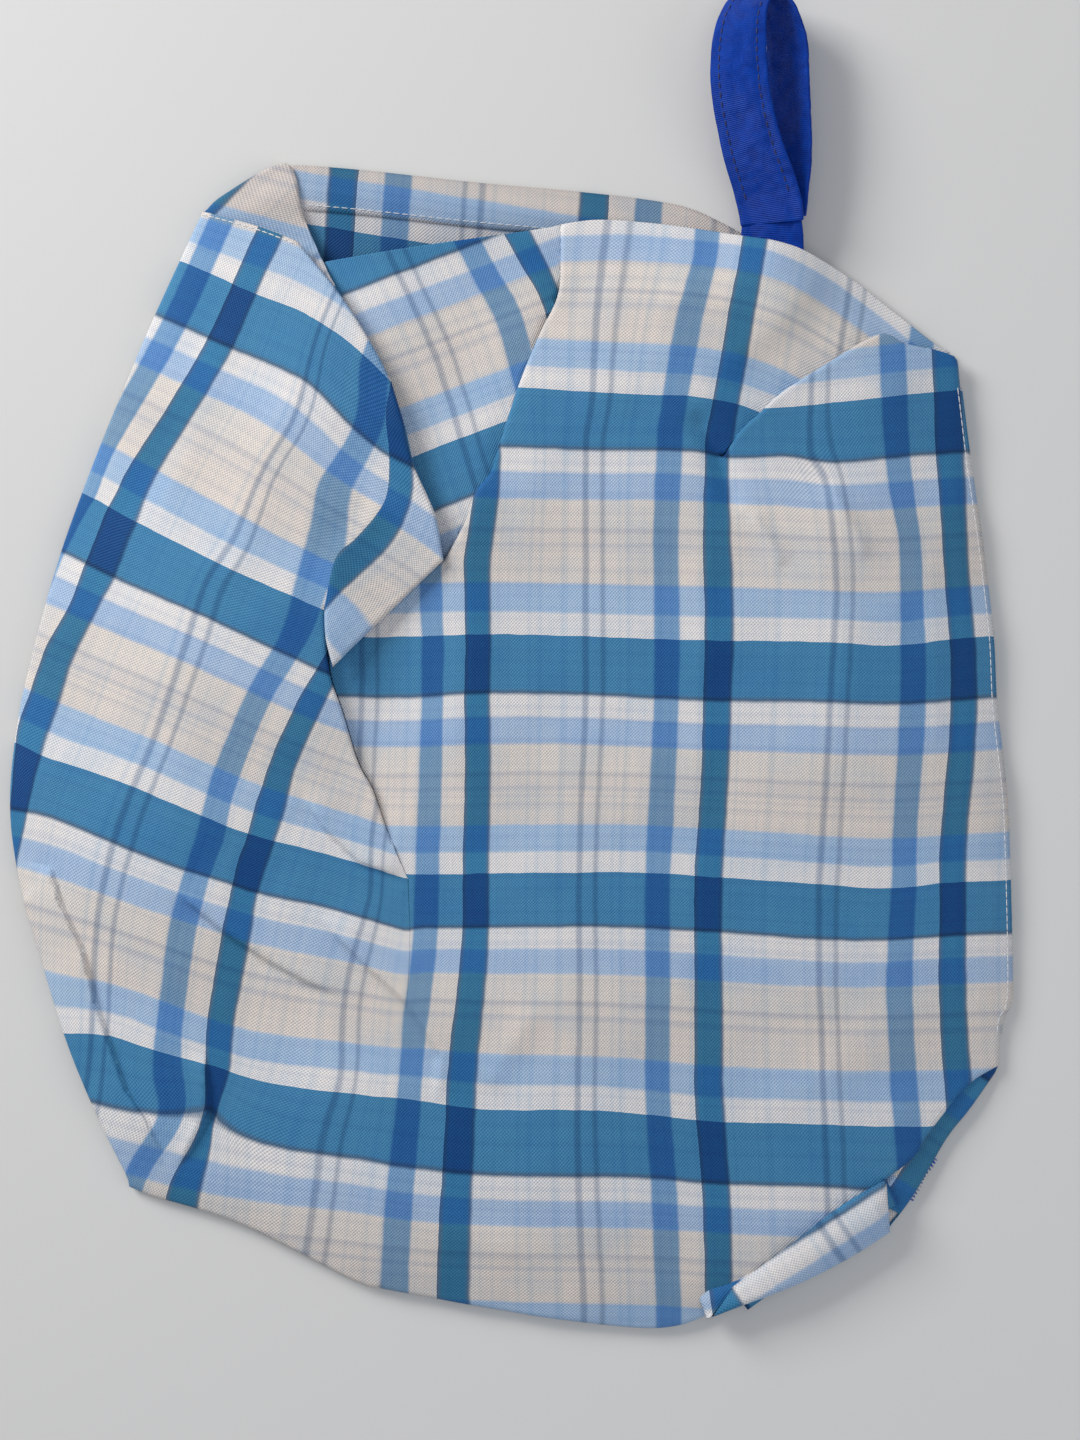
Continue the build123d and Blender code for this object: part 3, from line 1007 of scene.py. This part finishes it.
def corner_height(p):
    over = 7.5 * smooth_step((132 - p[:, 1]) / 26) + 1.5 * smooth_step((p[:, 0] + 92) / 12)
    return back_height(p) + 1.0 + over


def base_height(p):
    return 0.48 + 0.03 * wander(p, 9, 2.2)


def level(height):
    return lambda p: np.full(len(p), height)


# Where parts of the cloth run beneath their neighbours.
UNDER_FLAP = np.array([(-55.5, 12), (-46, 18), (-34, 27), (-24, 31)], float)
UNDER_ROLL = np.array([(111, -160), (104, -168), (86, -180), (68, -188.5)], float)
UNDER_CORNER = np.array([(113, -163), (112, -157), (119, -146), (128, -134), (141, -122)], float)
BACK_UNDER_CORNER = np.array([(-56, 106), (-64, 116), (-76, 124), (-87, 129)], float)
under_tuck = tuck + np.array([-0.5, -6.0]) * smooth_step((tuck[:, :1] - JOIN_END) / 20)
split_at = int(np.argmin(np.hypot(*(ridge_over_valley - np.array(JOIN[0])).T)))
ridge_low, ridge_high = ridge_over_valley[: split_at + 1], ridge_over_valley[split_at:]
join_line = joined(ridge_low[-1:], join[1:])


def front_wall_cloth():
    """The front wall, one cloth in seven parts, each folded over or under the next."""
    left_outline = joined(hem_line, flap_outer, arc, crease, border, left_edge)[:-1]
    flap_edge = joined(flap_tip, flap_lower, flap_left)
    main_low = joined(corner_fold, UNDER_ROLL, base_edge[1:], border[::-1], crease[::-1])
    main_outline = joined(tuck[::-1], right, main_low, UNDER_FLAP, ridge_low, join_line)[:-1]
    top_outline = joined(ridge_high, mouth, under_tuck, join_line[::-1])[:-1]
    valley_outline = joined(valley_top, np.array(VALLEY_UNDER, float))[:-1]
    strip_outline = np.vstack([side_strip[:-4], UNDER_CORNER])
    roll_outline = np.vstack([roll_fold[:-1], roll_edge[::-1][1:]])
    main_folds = (tuck[6:][::-1], joined(right, corner_fold), base_edge, ridge_low)

    cloth = Cloth()
    cloth.region(left_outline, left_height, left_body_print, (flap_outer, crease[:-8], left_edge))
    cloth.region(joined(flap_edge, arc[::-1])[:-1], flap_height, flap_print, (flap_edge,))
    cloth.region(main_outline, main_height, lower_print, main_folds)
    cloth.region(top_outline, top_height, upper_print, (ridge_high,))
    cloth.region(valley_outline, valley_height, valley_print)
    cloth.region(strip_outline, strip_height, strip_print, (side_strip,))
    cloth.region(roll_outline, roll_height, roll_print, (roll_fold, roll_edge))
    return cloth.make("front_wall_cloth", wall_cloth, lowest=BACK_EDGE)


def shrunk(outline, share):
    """An outline just inside the given one, so that what lies beneath doesn't show past the front wall."""
    centre = np.array([0.0, -20.0])
    return centre + (outline - centre) * share


def back_wall_cloth():
    """The back wall, which the whole bag lies on, with its top left corner turned over."""
    corner = resample(TURNED_CORNER)
    corner_edge = corner[corner[:, 0] < -60]
    cloth = Cloth()
    cloth.region(shrunk(silhouette, 0.992), back_height, back_print)
    cloth.region(joined(corner, BACK_UNDER_CORNER), corner_height, corner_print, (corner_edge,))
    return cloth.make("back_wall_cloth", inner_cloth)


front_wall = front_wall_cloth()
stand_for(front_wall, "front_wall")
back_wall = back_wall_cloth()
stand_for(back_wall, "back_wall")

# The hems at the mouth.
hem_top = joined(back_top, mouth_past_back)
back_hem = Cloth().band(hem_top, 14.0, lambda p: back_height(p) + 0.5, back_print)
stand_for(back_hem.make("back_hem_cloth", inner_cloth), "back_hem")
front_top = joined(valley_top, mouth)
front_hem = Cloth().band(front_top, 13.0, lambda p: front_hem_height(p) - 1.0, front_hem_print, start=0.1)
stand_for(front_hem.make("front_hem_cloth", inner_cloth), "front_hem")

# The base, folded beneath the bag: its low edge is the bag's, and its high edge an arc between the two ends.
BASE_REACH = 47.0
base_low = joined(roll_edge, base_past_roll, left_edge[left_edge[:, 1] < -157])
share_across = np.linspace(0, 1, 40)[1:-1, None]
base_high = base_low[-1] + (base_low[0] - base_low[-1]) * share_across
base_high[:, 1:] += BASE_REACH * np.sin(math.pi * share_across) ** 0.8
base_panel = Cloth()
base_panel.region(
    np.vstack([shrunk(base_low, 0.985), base_high]),
    base_height,
    straight((40, 20), (0, 0), ((1 / UNIT, 0), (0, 1 / UNIT))),
)
base_piece = base_panel.make("base_panel_cloth", base_cloth, lowest=0.05)
stand_for(base_piece, "base_panel")

# The side seam's allowance, just under the front wall's right edge.
seam_line = right[(right[:, 1] < 83) & (right[:, 1] > -113)] + np.array([0.5, 0])
side_seam = Cloth().band(seam_line, 3.4, lambda p: back_height(p) + 0.7, main_print, steps=3, start=-0.3)
stand_for(side_seam.make("side_seam_cloth", wall_cloth), "side_seam")

# A stitch: the share of its length, of its thickness and of its sag at each of its rings.
STITCH_RINGS = ((0, 0.35, 1.5), (0.15, 0.85, 0.5), (0.5, 1.0, 0), (0.85, 0.85, 0.5), (1, 0.35, 1.5))
STITCH_SIDES = 6


def stitches(path, pitch=2.8, length=2.1, thick=0.22, sag=0.06):
    """A row of thread along a path of places, one short rounded piece for each stitch: points and faces."""
    along = np.append(0, np.cumsum(np.linalg.norm(np.diff(path, axis=0), axis=1)))
    points, faces = [], []
    for start in np.arange(0.2, along[-1] - length, pitch):
        places = [
            np.array([np.interp(start + length * t, along, path[:, k]) for k in range(3)])
            for t, _, _ in STITCH_RINGS
        ]
        ahead = places[-1] - places[0]
        ahead /= max(float(np.linalg.norm(ahead)), 1e-9)
        flat = np.cross((0, 0, 1), ahead)
        flat /= max(float(np.linalg.norm(flat)), 1e-9)
        up = np.cross(ahead, flat)
        first = len(points)
        for place, (_, size, drop) in zip(places, STITCH_RINGS):
            for turn in range(STITCH_SIDES):
                a = 2 * math.pi * turn / STITCH_SIDES
                around = math.cos(a) * flat + math.sin(a) * up
                points.append(place + thick * size * around - up * sag * drop)
        for ring in range(len(STITCH_RINGS) - 1):
            for turn in range(STITCH_SIDES):
                a = first + ring * STITCH_SIDES + turn
                b = first + ring * STITCH_SIDES + (turn + 1) % STITCH_SIDES
                faces.append([a, b, b + STITCH_SIDES, a + STITCH_SIDES])
        last = first + (len(STITCH_RINGS) - 1) * STITCH_SIDES
        faces.append([first + k for k in reversed(range(STITCH_SIDES))])
        faces.append([last + k for k in range(STITCH_SIDES)])
    return points, faces


def sewn(name, rows, material, cad_node, body="bag"):
    """One piece of thread from rows of stitches."""
    points, faces = [], []
    for row_points, row_faces in rows:
        faces += [[i + len(points) for i in face] for face in row_faces]
        points += row_points
    stand_for(new_piece(name, points, faces, material), cad_node, body)


def lifted(line, height, up):
    """Places along a line on a surface."""
    return np.column_stack([line, height(line) + up])


def zigzag(line, height, width=3.0):
    """An overlock's looper thread: back and forth across a seam."""
    fine = resample(line, 1.15)
    path = np.empty((2 * len(fine), 3))
    path[0::2] = lifted(fine, level(height), 0)
    path[1::2] = lifted(inset(fine, width), level(height), 0)
    return path


corner_row = stitches(lifted(inset(hem_line, 1.0), left_height, 0.12), 2.2, 1.8, 0.2)
mouth_row = stitches(lifted(inset(front_top[2:-3], 11.0), front_hem_height, -1.5))
back_row = stitches(lifted(inset(hem_top[2:-3], 12.4), back_height, 0.62), 2.6, 2.0, 0.15)
topstitched = right[(right[:, 1] < 82) & (right[:, 1] > -112)]
side_row = stitches(lifted(inset(topstitched, 1.0), main_height, 0.1), 2.4, 2.2, 0.15)
sewn("front_hem_thread", [corner_row, mouth_row], white_thread, "front_hem_stitching")
sewn("back_hem_thread", [back_row], white_thread, "back_hem_stitching")
sewn("side_seam_thread", [side_row], white_thread, "side_seam_stitching")

# Overlock loops along the base's seam, and the few that show at the lower right corner.
overlock_paths = zigzag(base_high, 0.32), zigzag(OVERLOCK_SHOWN, 2.4)
overlock_rows = [stitches(path, 3.2, 3.0, 0.22, 0.0) for path in overlock_paths]
sewn("base_seam_thread", overlock_rows, blue_thread, "base_seam_overlock")

# The strap: points across its width, and where its two rows of stitches run, in shares of half its width.
STRAP_COLUMNS = 19
ROW_AT = 0.68


def crumple(share, distance, seed):
    """The strap's small creases across its width."""
    a = noise.noise(Vector((distance / 7, share * 1.3, seed)))
    b = noise.noise(Vector((distance / 2.6, share * 2.4, seed + 4)))
    c = noise.noise(Vector((distance / 16, share * 0.5, seed + 8)))
    return 0.55 * a + 0.22 * b + 0.9 * c


def unit(vectors):
    return vectors / np.maximum(np.linalg.norm(vectors, axis=1), 1e-9)[:, None]


def strap(name, stations, thickness, seed):
    """A puckered band through places, each with a direction across and half a width, and its stitch rows."""
    places, ways, halves = zip(*stations)
    fine = resample(np.column_stack([places, unit(np.array(ways, float)), halves]), 0.7)
    middle, across, half = fine[:, :3], unit(fine[:, 3:6]), fine[:, 6:]
    normal = unit(np.cross(across, unit(np.gradient(middle, axis=0))))
    along = np.append(0, np.cumsum(np.linalg.norm(np.diff(middle, axis=0), axis=1)))
    columns = np.linspace(-1, 1, STRAP_COLUMNS)

    def raised(t, lift):
        creased = np.array([crumple(t, d, seed) for d in along])[:, None]
        return middle + across * half * t + normal * (creased + lift)

    rows = []
    for t in columns:
        puff = 0.35 * math.cos(t * math.pi / 2) - 0.22 * math.exp(-(((abs(t) - ROW_AT) / 0.07) ** 2))
        rows.append(raised(t, puff))
    points = np.stack(rows, 1).reshape(-1, 3)
    band = new_piece(name, points, grid_faces(len(middle), STRAP_COLUMNS), strap_cloth)
    flat_places = np.stack([half * columns, np.tile(along[:, None], STRAP_COLUMNS)], -1)
    lay_print(band.data, flat_places.reshape(-1, 2))
    thicken(band, thickness, 0)
    rim = band.modifiers.new("rim", "BEVEL")
    rim.width = 0.3 * thickness * MM
    rim.segments = 2
    rim.limit_method = "ANGLE"
    return band, [raised(side * ROW_AT, thickness / 2 + 0.05) for side in (-1, 1)]


strap_loop, loop_rows = strap("strap_loop_cloth", LOOP, 1.1, 3.0)
stand_for(strap_loop, "strap_loop", "loop")
for side, row in zip(("left", "right"), loop_rows):
    seam = stitches(row[12:-12], 2.8, 2.0, 0.26)
    sewn(f"strap_{side}_thread", [seam], navy_thread, f"strap_{side}_stitching", "loop")
strap_ends, _ = strap("strap_ends_cloth", STRAP_ENDS, 1.2, 7.0)
stand_for(strap_ends, "strap_ends")
bar_path = np.array([(72.5 + 0.5 * i, 116.2 + 1.3 * (i % 2), 6.7 + 0.1 * i) for i in range(27)])
bar = stitches(bar_path, 1.45, 1.35, 0.24, 0.0)
sewn("strap_bar_thread", [bar], blue_thread, "strap_bar_tack")


# Floor, light and camera.
def pale_floor(half_side=3.0):
    mesh = bpy.data.meshes.new("floor")
    corners = [(-half_side, -half_side, 0), (half_side, -half_side, 0), (half_side, half_side, 0)]
    mesh.from_pydata(corners + [(-half_side, half_side, 0)], [], [[0, 1, 2, 3]])
    floor = bpy.data.objects.new("floor", mesh)
    bpy.context.collection.objects.link(floor)
    finish, _, base = shader("floor_finish")
    base.inputs["Base Color"].default_value = (0.72, 0.72, 0.71, 1)
    base.inputs["Roughness"].default_value = 0.7
    mesh.materials.append(finish)


def lamp(name, place, size, power, colour):
    """A square lamp that faces the bag."""
    data = bpy.data.lights.new(name, "AREA")
    data.size = size
    data.energy = power
    data.color = colour
    obj = bpy.data.objects.new(name, data)
    obj.location = place
    obj.rotation_euler = (-Vector(place)).to_track_quat("-Z", "Y").to_euler()
    bpy.context.collection.objects.link(obj)


def camera_above(place, view_height):
    """A camera that looks straight down and sees the given height at the floor."""
    data = bpy.data.cameras.new("camera")
    data.sensor_fit = "VERTICAL"
    data.sensor_height = 24
    data.lens = 24 * place[2] / view_height
    camera = bpy.data.objects.new("camera", data)
    camera.location = place
    bpy.context.collection.objects.link(camera)
    bpy.context.scene.camera = camera


pale_floor()
lamp("window", (-0.9, 0.75, 0.7), 0.6, 15, (1.0, 0.98, 0.95))
lamp("sky", (0.2, -0.1, 1.9), 1.4, 5.5, (0.95, 0.97, 1.0))
lamp("fill", (1.2, -0.6, 0.8), 1.0, 4, (0.95, 0.97, 1.0))
world = bpy.data.worlds.new("room")
world.use_nodes = True
world.node_tree.nodes["Background"].inputs[0].default_value = (0.9, 0.93, 1.0, 1)
world.node_tree.nodes["Background"].inputs[1].default_value = 0.28
bpy.context.scene.world = world
camera_above((0.0099, -0.018, 1.0), 0.432)
bpy.context.scene.view_settings.view_transform = "Standard"
